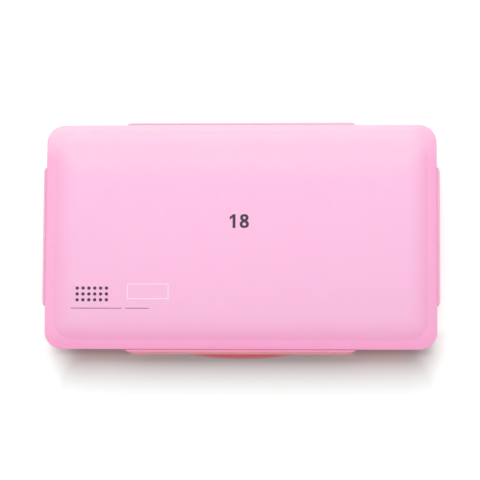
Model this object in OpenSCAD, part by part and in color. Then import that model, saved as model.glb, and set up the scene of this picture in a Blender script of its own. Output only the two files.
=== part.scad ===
// Flat paint box. A domed lid sits on the rim of a moulded tray and is locked
// by four flaps on living hinges, one to a side. The tray holds square cups of
// gouache under peel-off films, and a mixing palette is clipped in the lid.
//
// Frame: +X to the right along the box, +Y to the back, +Z up, with the origin
// in the middle of the underside. All lengths are in millimetres.

/* [Lid] */
// Length of the lid along its edge
lid_w = 360; // [320:1:400]
// Depth of the lid along its edge
lid_d = 207.6; // [185:0.2:230]
// Radius of the lid's corners, seen from above
lid_corner_r = 16.5; // [15:0.5:20]
// Thickness of the lid's flat edge
lid_edge_t = 1.8; // [1.6:0.1:2.4]
// Rounding along the top of the lid's edge
lid_edge_r = 0.5; // [0.3:0.1:1]
// Distance from the lid's edge to the foot of its crown
crown_inset = 8.5; // [7:0.5:11]
// How far the crown's rounded shoulder reaches inwards
crown_run = 18; // [14:0.5:20]
// Rise of the crown above the lid's edge
crown_rise = 2.5; // [2.25:0.25:4]
// Hollow radius where the crown meets the flat edge
cove_r = 2.5; // [1.5:0.5:3.5]
// Wall of the crown
crown_wall = 1.6; // [1.2:0.1:1.7]

/* [Tray] */
// Distance from the lid's edge in to the tray's wall
tray_inset = 8; // [7:0.5:9]
// Corner radius of the tray's wall at the rim
tray_corner_r = 12; // [11:0.5:14]
// Wall of the tray
tray_wall = 1.6; // [1.2:0.1:2]
// How far the tray's wall leans in between its rim and its foot
tray_lean = 1.6; // [1:0.2:2.4]
// Rounding along the bottom of the tray
tray_edge_r = 5; // [4:0.5:6]
// Thickness of the tray's floor
floor_t = 1.6; // [1.2:0.1:2]
// Height of the ring that the tray stands on
foot_h = 0.8; // [0.6:0.1:1.2]
// Width of that ring
foot_w = 3; // [2:0.5:4]
// Thickness of the tray's rim
rim_t = 1.8; // [1.4:0.1:2]
// How far the tray's rim stays back from the lid's edge
rim_setback = 0.4; // [0.4:0.1:0.8]
// Height of the lip that hangs from the rim
lip_h = 4.6; // [3.8:0.2:5.4]
// Thickness of that lip
lip_t = 1.6; // [1.2:0.1:2]

/* [Grip ledge] */
// How far the front ledge reaches out past the lid's edge
ledge_out = 6.2; // [5:0.1:8]
// Radius of the ledge's shallow bow
ledge_bow_r = 257; // [220:1:300]
// Thickness of the ledge
ledge_t = 2.2; // [1.8:0.1:3]
// Height of the ledge's top face above the table
ledge_z = 5.6; // [5:0.1:7]
// Number of gussets under the ledge
gusset_count = 5; // [3:1:7]
// Thickness of each gusset
gusset_t = 1.2; // [1:0.1:1.6]

/* [Cups] */
// Cups along the box
cup_cols = 6; // [5:1:7]
// Cups across the box
cup_rows = 3; // [2:1:3]
// Height of a cup
cup_h = 17; // [15.5:0.5:19]
// Space between the rims of two cups
cup_gap = 1.2; // [0.8:0.1:2]
// Space between the cups and the tray's wall
cup_margin = 2; // [1.6:0.1:3]
// Corner radius of a cup's wall
cup_corner_r = 7; // [6.5:0.5:9]
// Wall of a cup
cup_wall = 0.9; // [0.7:0.1:1.2]
// Lean of a cup's wall from rim to foot
cup_lean = 1.6; // [1:0.2:2]
// Rounding round the bottom of a cup
cup_edge_r = 4; // [2.5:0.5:4.5]
// Width of the rim round a cup
cup_rim_w = 1.9; // [1.4:0.1:2.2]
// Thickness of that rim
cup_rim_t = 1; // [0.8:0.1:1.4]
// Depth of paint in a full cup
paint_depth = 13.2; // [10:0.2:13.6]
// Thickness of the peel-off film
film_t = 0.2; // [0.2:0.05:0.4]
// Height of the low frame that locates each cup on the floor
pocket_h = 3; // [2:0.5:5]
// Thickness of that frame
pocket_t = 1; // [0.8:0.1:1.2]
// Free height above the cups, up to the tray's rim
headroom = 15.3; // [12:0.1:17]

/* [Palette] */
// Thickness of the palette's sheet
palette_t = 1.3; // [1:0.1:1.5]
// Depth of the mixing wells
well_depth = 2.5; // [2:0.1:2.6]
// Space between two wells
well_gap = 5; // [4:0.5:7]
// Plain border round the wells
well_border = 8; // [7:0.5:11]
// Corner radius of a well
well_corner_r = 7; // [5:0.5:8]
// Rounding inside the bottom of a well
well_edge_r = 1.8; // [1:0.1:2]
// Depth of the large wells, front to back
large_well_d = 84; // [70:1:90]
// Number of large wells in their row
large_wells = 3; // [2:1:4]
// Number of small wells in each of their two rows
small_wells = 6; // [4:1:7]

/* [Flaps] */
// Length of the front and back flaps
long_flap_w = 211; // [180:1:230]
// Length of the side flaps
short_flap_w = 129; // [110:1:140]
// Height of a flap below the top of the lid's edge
flap_h = 20.3; // [17:0.1:23]
// Thickness of a flap
flap_t = 1.8; // [1.5:0.1:2]
// Distance from the lid's edge to the hinge line
hinge_out = 0.8; // [0.7:0.05:1]
// Depth of the hinge groove below the top of the lid's edge
groove_depth = 0.9; // [0.7:0.05:1]
// Thickness of the living hinge
web_t = 0.4; // [0.3:0.05:0.5]
// How far a flap flares outwards down to its lower edge
flap_flare = 0.8; // [0.4:0.1:1.4]
// Length of the sloping end of a flap, seen from above
flap_end_run = 5; // [4:0.5:7]
// Rounding of a flap's lower corners
flap_corner_r = 6; // [4:0.5:8]
// Greatest width of the catch ridge
ridge_h = 3; // [2:0.2:3.4]

/* [Fits] */
// Side play between the lid's locating rib and the tray
rib_play = 0.5; // [0.4:0.05:0.8]
// Depth of the locating rib below the rim
rib_drop = 3; // [2.8:0.1:3.5]
// Thickness of the locating rib
rib_t = 1.4; // [1.2:0.1:1.6]
// Play between the palette and the locating rib
palette_play = 0.4; // [0.3:0.05:0.6]
// Reach of the nibs that carry the palette
nib_reach = 1.1; // [0.9:0.1:1.3]
// Height of those nibs
nib_h = 0.8; // [0.6:0.1:1]
// Length of each nib
nib_len = 9; // [6:1:14]
// Play round the foot of a cup in its frame
pocket_play = 0.4; // [0.3:0.05:0.5]
// Play between the paint and the wall of its cup
paint_play = 0.05; // [0.05:0.05:0.1]
// Gap between a catch ridge and the tray's lip
catch_play = 0.1; // [0.1:0.05:0.3]
// Gap at the hinge line between the halves of a web
web_play = 0.1; // [0.1:0.05:0.2]

/* [Colours] */
// Frosted plastic of the lid and flaps
lid_colour = "#f7b7d6";
// Solid plastic of the tray
tray_colour = "#d9707f";
// White plastic of the palette
palette_colour = "#f4f4f2";
// Clear plastic of the cups
cup_colour = "#e6ecf0";
// Film over the cups
film_colour = "#dfe3e6";

/* [Hidden] */
$fn = 96;

// One colour for each cup of paint, taken in turn
PAINTS = [
    "white", "gold", "orange", "red", "crimson", "hotpink",
    "plum", "purple", "navy", "royalblue", "deepskyblue", "teal",
    "seagreen", "yellowgreen", "peru", "sienna", "slategray", "black",
];

// Heights, from the table up
floor_z = foot_h + floor_t;
cup_top_z = floor_z + cup_h;
rim_z = cup_top_z + headroom;
lid_edge_z = rim_z + lid_edge_t;
box_top_z = lid_edge_z + crown_rise;
rib_foot_z = rim_z - rib_drop;
palette_z = rib_foot_z + nib_h;
hinge_z = lid_edge_z - groove_depth;
flap_foot_z = lid_edge_z - flap_h;

// Corner centres, measured from the middle of the box
lid_cx = lid_w / 2 - lid_corner_r;
lid_cy = lid_d / 2 - lid_corner_r;
crown_cx = lid_w / 2 - crown_inset - crown_run;
crown_cy = lid_d / 2 - crown_inset - crown_run;
tray_cx = lid_w / 2 - tray_inset - tray_corner_r;
tray_cy = lid_d / 2 - tray_inset - tray_corner_r;

// The crown's shoulder is an arc that ends level at the top
crown_r = (crown_run * crown_run + crown_rise * crown_rise) / (2 * crown_rise);
crown_cz = box_top_z - crown_r;

// Radii about the tray's corner centres
tray_in_r = tray_corner_r - tray_wall;
rib_out_r = tray_in_r - rib_play;
rib_in_r = rib_out_r - rib_t;
palette_r = rib_in_r - palette_play;

// Derived places are kept to a hundredth of a millimetre, so that faces meet exactly
function hundredths(x) = floor(100 * x) / 100;

// Cup grid
cup_pitch_x = hundredths(2 * (tray_cx + tray_in_r - cup_margin) / cup_cols);
cup_pitch_y = hundredths(2 * (tray_cy + tray_in_r - cup_margin) / cup_rows);
cup_count = cup_cols * cup_rows;
cup_cx = hundredths((cup_pitch_x - cup_gap) / 2 - cup_rim_w - cup_corner_r);
cup_cy = hundredths((cup_pitch_y - cup_gap) / 2 - cup_rim_w - cup_corner_r);
cup_in_r = cup_corner_r - cup_wall;

// Wells of the palette
well_area_w = 2 * (tray_cx + palette_r - well_border);
well_area_d = 2 * (tray_cy + palette_r - well_border);
small_well_cy = hundredths((well_area_d - large_well_d - 2 * well_gap) / 4) - well_corner_r;
large_well_cx = hundredths((well_area_w + well_gap) / large_wells / 2 - well_gap / 2) - well_corner_r;
small_well_cx = hundredths((well_area_w + well_gap) / small_wells / 2 - well_gap / 2) - well_corner_r;
large_well_cy = large_well_d / 2 - well_corner_r;

// A small overlap that joins two solids of one piece
JOIN = 0.2;
// Straight steps in a small and in a large rounding
FEW = 4;
MANY = 12;

function two_digits(i) = str(i < 10 ? "0" : "", i);
function cup_name(i) = str("cup_", two_digits(i));
function paint_name(i) = str("paint_", two_digits(i));
function films_name(row) = str("films_row_", row);

// Points on an arc, in equal steps from angle a to angle b
function arc(cx, cz, r, a, b, steps) =
    [for (i = [0:steps]) let (t = a + (b - a) * i / steps) [cx + r * cos(t), cz + r * sin(t)]];

// Half section of a tub: its floor, a rounded foot and a wall that leans out to radius r
function tub_section(r, lean, edge_r, z0, z1) = concat(
    [[0, z0]],
    arc(r - lean - edge_r, z0 + edge_r, edge_r, -90, 0, FEW),
    [[r, z1], [0, z1]]
);

// Half section of a plate whose upper edge is rounded
function plate_section(r, edge_r, z0, z1) = concat(
    [[0, z0], [r, z0]],
    arc(r - edge_r, z1 - edge_r, edge_r, 0, 90, FEW),
    [[0, z1]]
);

// Carries a section round four corners at (+-cx, +-cy); its x counts outwards from the corner centres
module carry_round(cx, cy) {
    for (sx = [0, 1], sy = [0, 1])
        mirror([sx, 0, 0])
            mirror([0, sy, 0])
                translate([cx, cy, 0])
                    rotate_extrude(angle = 90)
                        children();
    for (s = [0, 1]) {
        mirror([s, 0, 0])
            translate([cx, cy, 0])
                rotate([90, 0, 0])
                    linear_extrude(2 * cy)
                        children();
        mirror([0, s, 0])
            translate([-cx, cy, 0])
                rotate([90, 0, 90])
                    linear_extrude(2 * cx)
                        children();
    }
}

// The same, with the middle filled from z0 to z1
module carry_filled(cx, cy, z0, z1) {
    carry_round(cx, cy)
        children();
    translate([-cx, -cy, z0])
        cube([2 * cx, 2 * cy, z1 - z0]);
}

module tub(cx, cy, r, lean, edge_r, z0, z1) {
    carry_filled(cx, cy, z0, z1)
        polygon(tub_section(r, lean, edge_r, z0, z1));
}

module plate(cx, cy, r, edge_r, z0, z1) {
    carry_filled(cx, cy, z0, z1)
        polygon(plate_section(r, edge_r, z0, z1));
}

module block(cx, cy, r, z0, z1) {
    carry_filled(cx, cy, z0, z1)
        translate([0, z0])
            square([r, z1 - z0]);
}

module ring(cx, cy, r_in, r_out, z0, z1) {
    carry_round(cx, cy)
        translate([r_in, z0])
            square([r_out - r_in, z1 - z0]);
}

// Puts a copy at the middle of each cup's place on the floor, or at one place only
module at_cup(i) {
    col = (i - 1) % cup_cols;
    row = floor((i - 1) / cup_cols);
    translate([
        (col - (cup_cols - 1) / 2) * cup_pitch_x,
        ((cup_rows - 1) / 2 - row) * cup_pitch_y,
        0
    ])
        children();
}

// Tray ------------------------------------------------------------------

// Rim round the tray, with the lip that the flaps catch under
module tray_rim() {
    out_r = lid_corner_r - rim_setback;
    carry_filled(lid_cx, lid_cy, rim_z - rim_t, rim_z)
        polygon([
            [0, rim_z - rim_t],
            [out_r - lip_t, rim_z - rim_t],
            [out_r - lip_t, rim_z - lip_h],
            [out_r, rim_z - lip_h],
            [out_r, rim_z],
            [0, rim_z],
        ]);
}

module tray_foot() {
    foot_r = tray_corner_r - tray_lean - tray_edge_r;
    ring(tray_cx - foot_w, tray_cy - foot_w, foot_r, foot_r + foot_w, 0, foot_h + JOIN);
}

// Bowed shelf at the front for the thumb that holds the tray down
module grip_ledge() {
    front_y = -lid_d / 2 - ledge_out;
    wall_y = -(tray_cy + tray_corner_r) + tray_lean;
    reach = wall_y - front_y;
    half_chord = sqrt(2 * ledge_bow_r * reach - reach * reach);
    intersection() {
        translate([0, front_y + ledge_bow_r, ledge_z - ledge_t])
            cylinder(r = ledge_bow_r, h = ledge_t);
        translate([-half_chord - JOIN, front_y - JOIN, 0])
            cube([2 * half_chord + 2 * JOIN, reach + 2 * JOIN, ledge_z + JOIN]);
    }
    for (i = [0:gusset_count - 1]) {
        x = (i / (gusset_count - 1) - 0.5) * half_chord;
        bow = ledge_bow_r - sqrt(ledge_bow_r * ledge_bow_r - x * x);
        translate([x - gusset_t / 2, 0, 0])
            rotate([90, 0, 90])
                linear_extrude(gusset_t)
                    polygon([
                        [wall_y + 2 * JOIN, foot_h + tray_edge_r / 2],
                        [front_y + bow + 2 * ledge_t, ledge_z - ledge_t / 2],
                        [wall_y + 2 * JOIN, ledge_z - ledge_t / 2],
                    ]);
    }
}

// Low frames that keep the cups in their places
module cup_pockets() {
    r = cup_corner_r - cup_lean + pocket_play;
    for (i = [1:cup_count])
        at_cup(i)
            ring(cup_cx, cup_cy, r, r + pocket_t, floor_z - JOIN, floor_z + pocket_h);
}

module base_tray() {
    color(tray_colour) {
        difference() {
            union() {
                tub(tray_cx, tray_cy, tray_corner_r, tray_lean, tray_edge_r, foot_h, rim_z);
                tray_rim();
                grip_ledge();
            }
            tub(tray_cx, tray_cy, tray_in_r, tray_lean, tray_edge_r - tray_wall, floor_z, rim_z);
        }
        tray_foot();
        cup_pockets();
    }
}

// Cups ------------------------------------------------------------------

module cup(i) {
    rim_r = cup_corner_r + cup_rim_w;
    color(cup_colour)
        at_cup(i)
            difference() {
                union() {
                    tub(cup_cx, cup_cy, cup_corner_r, cup_lean, cup_edge_r, floor_z, cup_top_z);
                    block(cup_cx, cup_cy, rim_r, cup_top_z - cup_rim_t, cup_top_z);
                }
                tub(cup_cx, cup_cy, cup_in_r, cup_lean, cup_edge_r - cup_wall, floor_z + cup_wall, cup_top_z);
            }
}

module paint(i) {
    edge_r = cup_edge_r - cup_wall;
    bottom_z = floor_z + cup_wall;
    top_z = bottom_z + paint_depth;
    lean = cup_lean * (paint_depth - edge_r) / (cup_top_z - bottom_z - edge_r);
    r = cup_in_r - cup_lean + lean - paint_play;
    color(PAINTS[(i - 1) % len(PAINTS)])
        at_cup(i)
            tub(cup_cx, cup_cy, r, lean, edge_r, bottom_z, top_z);
}

// Peel-off films, one on each cup of a row
module films(row) {
    color(film_colour)
        for (col = [1:cup_cols])
            at_cup((row - 1) * cup_cols + col)
                block(cup_cx, cup_cy, cup_corner_r + cup_rim_w, cup_top_z, cup_top_z + film_t);
}

// Lid -------------------------------------------------------------------

// Half section of the crown: a hollow foot on the flat edge, then the long shoulder
function crown_section() =
    let (
        cove_z = lid_edge_z + cove_r,
        cove_x = sqrt(pow(crown_r + cove_r, 2) - pow(cove_z - crown_cz, 2)),
        meet = atan2(cove_z - crown_cz, cove_x)
    )
    concat(
        [[0, rim_z], [cove_x, rim_z]],
        arc(cove_x, cove_z, cove_r, 270, 180 + meet, FEW),
        arc(0, crown_cz, crown_r, meet, 90, MANY)
    );

// Half section of the hollow in the crown, one wall inside its shoulder
function hollow_section() =
    let (
        r = crown_r - crown_wall,
        foot_x = sqrt(r * r - pow(rim_z - crown_cz, 2)),
        start = atan2(rim_z - crown_cz, foot_x)
    )
    concat(
        [[0, rib_foot_z], [foot_x, rib_foot_z]],
        arc(0, crown_cz, r, start, 90, MANY)
    );

module lid_shell() {
    difference() {
        union() {
            plate(lid_cx, lid_cy, lid_corner_r, lid_edge_r, rim_z, lid_edge_z);
            carry_filled(crown_cx, crown_cy, rim_z, box_top_z)
                polygon(crown_section());
        }
        intersection() {
            carry_filled(crown_cx, crown_cy, rib_foot_z, box_top_z - crown_wall)
                polygon(hollow_section());
            block(tray_cx, tray_cy, rib_in_r, rib_foot_z, box_top_z);
        }
    }
}

// Rib inside the tray's wall, with a lead-in along its lower outer edge
module locating_rib() {
    lead = rib_t / 2;
    carry_round(tray_cx, tray_cy)
        polygon([
            [rib_in_r, rib_foot_z],
            [rib_out_r - lead, rib_foot_z],
            [rib_out_r, rib_foot_z + 2 * lead],
            [rib_out_r, rim_z + JOIN],
            [rib_in_r, rim_z + JOIN],
        ]);
}

// Wedge nibs on the rib's inner face, on which the palette rests
module palette_nibs() {
    wedge = [
        [rib_in_r + JOIN, rib_foot_z],
        [rib_in_r, rib_foot_z],
        [rib_in_r - nib_reach, palette_z],
        [rib_in_r + JOIN, palette_z],
    ];
    for (s = [0, 1], x = [-1, 0, 1])
        mirror([0, s, 0])
            translate([x * tray_cx / 2 - nib_len / 2, tray_cy, 0])
                rotate([90, 0, 90])
                    linear_extrude(nib_len)
                        polygon(wedge);
    for (s = [0, 1])
        mirror([s, 0, 0])
            translate([tray_cx, nib_len / 2, 0])
                rotate([90, 0, 0])
                    linear_extrude(nib_len)
                        polygon(wedge);
}

// The lid's half of a living hinge, in the frame of a flap
module lid_web(w) {
    translate([-w / 2 + flap_end_run, -lid_edge_r - JOIN, hinge_z - web_t])
        cube([w - 2 * flap_end_run, lid_edge_r + JOIN + hinge_out - web_play / 2, web_t]);
}

module lid() {
    color(lid_colour) {
        lid_shell();
        locating_rib();
        palette_nibs();
        at_back()
            lid_web(long_flap_w);
        at_front()
            lid_web(long_flap_w);
        at_left()
            lid_web(short_flap_w);
        at_right()
            lid_web(short_flap_w);
    }
}

// Palette ---------------------------------------------------------------

// Fills each well's place with a body, from the sheet up
module wells(grow, z0) {
    r = well_corner_r + grow;
    top_z = palette_z + well_depth + grow;
    row_n = [large_wells, small_wells, small_wells];
    row_cx = [large_well_cx, small_well_cx, small_well_cx];
    row_cy = [large_well_cy, small_well_cy, small_well_cy];
    edge_y = well_area_d / 2 - well_corner_r;
    row_y = [
        edge_y - large_well_cy,
        -edge_y + 3 * small_well_cy + 2 * well_corner_r + well_gap,
        -edge_y + small_well_cy,
    ];
    for (row = [0:2], i = [0:row_n[row] - 1]) {
        pitch = 2 * (row_cx[row] + well_corner_r) + well_gap;
        translate([(i - (row_n[row] - 1) / 2) * pitch, row_y[row], 0])
            plate(row_cx[row], row_cy[row], r, well_edge_r + grow, z0, top_z);
    }
}

// White insert whose wells open downwards, so they face up when the lid lies on its back
module palette() {
    color(palette_colour)
        difference() {
            union() {
                block(tray_cx, tray_cy, palette_r, palette_z, palette_z + palette_t);
                ring(tray_cx, tray_cy, palette_r - palette_t, palette_r, palette_z, rim_z);
                wells(palette_t, palette_z);
            }
            wells(0, palette_z - JOIN);
        }
}

// Flaps -----------------------------------------------------------------

module at_back() {
    translate([0, lid_d / 2, 0])
        children();
}

module at_front() {
    translate([0, -lid_d / 2, 0])
        rotate([0, 0, 180])
            children();
}

module at_left() {
    translate([-lid_w / 2, 0, 0])
        rotate([0, 0, 90])
            children();
}

module at_right() {
    translate([lid_w / 2, 0, 0])
        rotate([0, 0, -90])
            children();
}

// Section of a flap: x counts outwards from the lid's edge
function flap_section() =
    let (
        in_x = hinge_out + web_play / 2,
        chamfer = groove_depth - 0.3,
        shoulder_z = hinge_z + chamfer,
        out_x = in_x + flap_t,
        round_r = flap_t / 2,
        foot_r = flap_t / 2,
        tip_x = -rim_setback + catch_play,
        tip_z = rim_z - lip_h - web_t
    )
    concat(
        [[in_x, hinge_z - web_t], [in_x, hinge_z], [in_x + 0.3, hinge_z]],
        arc(out_x - round_r, shoulder_z - round_r, round_r, 90, 0, FEW),
        arc(out_x + flap_flare - foot_r, flap_foot_z + foot_r, foot_r, 0, -180, 2 * FEW),
        [
            [in_x + flap_flare * 0.4, tip_z - ridge_h * 0.6],
            [tip_x, tip_z],
            [tip_x, tip_z + web_t],
            [in_x, tip_z + ridge_h * 0.7],
        ]
    );

// A flap is its section, cut to its outline from above and from the front
module flap(w) {
    reach = hinge_out + flap_t + flap_flare + 1;
    end_t = flap_t / 3;
    foot_w = w / 2 - flap_end_run * 0.6;
    color(lid_colour)
        intersection() {
            translate([-w / 2, 0, 0])
                rotate([90, 0, 90])
                    linear_extrude(w)
                        polygon(flap_section());
            linear_extrude(lid_edge_z)
                polygon([
                    [-w / 2, -reach],
                    [w / 2, -reach],
                    [w / 2, hinge_out + end_t],
                    [w / 2 - flap_end_run, reach],
                    [-w / 2 + flap_end_run, reach],
                    [-w / 2, hinge_out + end_t],
                ]);
            translate([0, reach, 0])
                rotate([90, 0, 0])
                    linear_extrude(2 * reach)
                        polygon(concat(
                            [[w / 2, lid_edge_z], [-w / 2, lid_edge_z], [-w / 2, hinge_z - web_t]],
                            arc(-foot_w + flap_corner_r, flap_foot_z + flap_corner_r, flap_corner_r, 180, 270, FEW),
                            arc(foot_w - flap_corner_r, flap_foot_z + flap_corner_r, flap_corner_r, 270, 360, FEW),
                            [[w / 2, hinge_z - web_t]]
                        ));
        }
}

module front_flap() {
    at_front()
        flap(long_flap_w);
}

module back_flap() {
    at_back()
        flap(long_flap_w);
}

module left_flap() {
    at_left()
        flap(short_flap_w);
}

module right_flap() {
    at_right()
        flap(short_flap_w);
}

base_tray();
lid();
palette();
front_flap();
back_flap();
left_flap();
right_flap();
for (i = [1:cup_count]) {
    cup(i);
    paint(i);
}
for (row = [1:cup_rows]) {
    films(row);
}
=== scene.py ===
"""Dresses the paint box: a frosted domed lid on a coral tray, locked by four
hinged flaps, with cups of gouache under films and a mixing palette inside.

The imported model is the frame. Every shape below is a surface worked out with
numpy from a few sizes, in millimetres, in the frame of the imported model: +X
along the box, +Y to the back, +Z up, the origin in the middle of the underside.
"""

import math
from types import SimpleNamespace

import bpy
import numpy as np
from mathutils.geometry import tessellate_polygon
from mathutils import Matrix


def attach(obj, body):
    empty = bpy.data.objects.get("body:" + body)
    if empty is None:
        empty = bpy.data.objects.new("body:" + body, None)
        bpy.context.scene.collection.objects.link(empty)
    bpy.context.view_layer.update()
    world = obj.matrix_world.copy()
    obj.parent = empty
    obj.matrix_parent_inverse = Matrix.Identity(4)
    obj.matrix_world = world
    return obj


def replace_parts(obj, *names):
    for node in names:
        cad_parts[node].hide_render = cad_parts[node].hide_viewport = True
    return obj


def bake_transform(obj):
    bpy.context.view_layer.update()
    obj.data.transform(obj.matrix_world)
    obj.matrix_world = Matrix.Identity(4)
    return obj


bl_info = {
    "name": "Paint Box",
    "version": (1, 0, 0),
    "blender": (4, 5, 0),
    "location": "3D View > Sidebar > Paint Box",
    "description": "Surfaces, finishes and studio for a flat box of gouache",
    "category": "Add Mesh",
}

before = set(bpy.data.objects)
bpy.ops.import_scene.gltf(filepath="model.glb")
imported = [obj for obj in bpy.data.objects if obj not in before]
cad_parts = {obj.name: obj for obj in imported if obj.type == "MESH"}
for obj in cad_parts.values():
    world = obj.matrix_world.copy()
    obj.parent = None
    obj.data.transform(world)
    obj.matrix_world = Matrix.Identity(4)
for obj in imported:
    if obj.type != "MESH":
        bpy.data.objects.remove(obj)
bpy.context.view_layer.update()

MM = 0.001
SIDES = ("back", "front", "left", "right")
COLUMNS, ROWS = 6, 3  # of cups
CROWN_END = 0.01  # angle, short of level, at which the crown's shoulder meets its top
WALL_ROOT = 0.4  # millimetres that the ledge and its gussets reach into the tray's wall

# Places and sizes of lamps and camera in metres, its turn in degrees, its lens in millimetres
KEY_PLACE, KEY_SIZE = (-0.1, 1.0, 1.73), (2.6, 1.9)
FRONT_PLACE, FRONT_SIZE = (0.0, -1.6, 0.42), (1.8, 0.5)
CAMERA_PLACE, CAMERA_TURN = (0.1075, -0.2598, 2.2248), (6.696, 2.788, 0.341)
CAMERA_LENS, CAMERA_SENSOR = 180, 36


# Sizes and colours -------------------------------------------------------


def srgb(red, green, blue):
    """Linear colour of three display values from 0 to 255."""
    c = np.array([red, green, blue]) / 255
    linear = np.where(c <= 0.04045, c / 12.92, ((c + 0.055) / 1.055) ** 2.4)
    return tuple(float(v) for v in linear)


def length(name, description, millimetres, least=0.0):
    return bpy.props.FloatProperty(
        name=name,
        description=description,
        default=millimetres * MM,
        min=least,
        precision=5,
        subtype="DISTANCE",
        unit="LENGTH",
    )


def coordinate(name, description, millimetres):
    return length(name, description, millimetres, least=-1.0)


def number(name, description, default):
    return bpy.props.FloatProperty(
        name=name, description=description, default=default, subtype="FACTOR"
    )


def power(name, description, watts):
    return bpy.props.FloatProperty(
        name=name, description=description, default=watts, min=0, unit="POWER"
    )


def pointer(kind, name, description):
    return bpy.props.PointerProperty(type=kind, name=name, description=description)


def colour(name, description, red, green, blue):
    return bpy.props.FloatVectorProperty(
        name=name,
        description=description,
        default=srgb(red, green, blue),
        size=3,
        min=0,
        max=1,
        subtype="COLOR",
    )


class LidSizes(bpy.types.PropertyGroup):
    edge_x: length("Edge corner, along", "Corner centre of the lid's edge, from the middle", 163.5)
    edge_y: length("Edge corner, across", "Corner centre of the lid's edge, from the middle", 87.3)
    edge_r: length("Edge corner radius", "Radius of the lid's corners, seen from above", 16.5)
    edge_top: length("Edge height", "Top of the flat edge above the table", 36.5)
    edge_foot: length("Edge underside", "Underside of the flat edge above the table", 34.7)
    edge_round: length("Edge rounding", "Rounding along the top of the edge", 0.35)
    crown_x: length("Crown corner, along", "Corner centre of the crown, from the middle", 153.5)
    crown_y: length("Crown corner, across", "Corner centre of the crown, from the middle", 77.3)
    shoulder_r: length("Shoulder radius", "Radius of the crown's long shoulder", 66.05)
    shoulder_depth: length("Shoulder centre", "Depth of its centre below the table", 27.08)
    cove_r: length("Cove radius", "Hollow radius where crown meets edge", 2.5)
    wall: length("Wall", "Wall of the crown", 1.6)
    dome: length("Dome", "How far the top falls from its middle to its border", 0.2)
    rib_x: length("Rib corner, along", "Corner centre of the locating rib", 160.0)
    rib_y: length("Rib corner, across", "Corner centre of the locating rib", 83.8)
    rib_out_r: length("Rib outer radius", "Outer corner radius of the locating rib", 9.9)
    rib_in_r: length("Rib inner radius", "Inner corner radius of the locating rib", 8.5)
    rib_foot: length("Rib foot", "Foot of the locating rib above the table", 31.7)
    nib_top: length("Nib top", "Seat of the palette on its nibs", 32.5)
    nib_reach: length("Nib reach", "Reach of the nibs that carry the palette", 1.1)
    nib_length: length("Nib length", "Length of each nib", 9.0)
    # painted light: the lid is paler over this part, where the white palette lies behind the plastic
    palette_x: length("Paler part, along", "Half length of the part that the palette pales", 155.0)
    palette_y: length("Paler part, across", "Half width of the part that the palette pales", 74.0)
    # painted shade and light: over this fade the lid's pink deepens towards the front, where shade
    # falls, and pales towards the back, where light comes in from behind
    fade: length("Fade", "Distance from the middle to where the pink is deepest", 104.0)
    # painted light: the pink as lit by the white palette behind it
    pale: colour("Pink over the palette", "Frosted plastic with white behind it", 255, 187, 219)
    # painted light: the paler pink at the back
    light: colour("Pink at the back", "Edge of the frosted plastic, at the back", 255, 205, 223)
    middle: colour("Pink at the sides", "Edge of the frosted plastic, at the sides", 247, 174, 208)
    # painted shade: the deeper pink at the front, also used to darken the right border and the edge
    shaded_pink: colour("Pink at the front", "Edge of the frosted plastic, at the front", 243, 157, 199)


class FlapSizes(bpy.types.PropertyGroup):
    long_length: length("Long flaps", "Length of the front and back flaps", 211.0)
    short_length: length("Short flaps", "Length of the side flaps", 129.0)
    inner: length("Inner face", "Inner face of a flap, from the lid's edge", 0.85)
    thickness: length("Thickness", "Thickness of a flap", 1.8)
    flare: length("Flare", "How far a flap leans out down to its foot", 0.8)
    top: length("Shoulder height", "Top of a flap's shoulder above the table", 36.1)
    hinge: length("Hinge height", "Height of the hinge line", 35.6)
    line: length("Hinge line", "Hinge line, from the lid's edge", 0.45)
    foot: length("Foot height", "Lower edge of a flap above the table", 16.2)
    end_run: length("End run", "Length over which a flap's end thins out", 3.8)
    corner_r: length("Corner radius", "Rounding of a flap's lower corners", 2.4)
    catch_tip: length("Catch height", "Height of the catch ridge", 29.9)
    catch_reach: length("Catch reach", "Reach of the ridge inwards past the inner face", 1.15)
    web: length("Web", "Thickness of the living hinge", 0.4)
    # painted shade and light: over this fade the flaps' pinks deepen towards the front and pale
    # towards the back
    fade: length("Fade", "Distance from the middle to where the pink is deepest", 107.0)
    # painted shade and light: the shoulder's pink, shaded at the front and lit at the back
    shade: colour("Shoulder", "Pink of hinge and shoulder, at the front", 236, 146, 172)
    middle: colour("Shoulder at the sides", "Pink of hinge and shoulder, at a side", 246, 182, 210)
    light: colour("Shoulder at the back", "Pink of hinge and shoulder, at the back", 255, 214, 232)
    # painted light and shade: the upright faces are darker and carry a painted glow of the coral tray
    # behind them, the front flap's most
    face: colour("Face", "Pink of a flap's face, warmed by the tray behind it", 232, 148, 176)
    low: colour("Face at the front", "Warmer pink of the front flap's face", 236, 139, 150)


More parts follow.
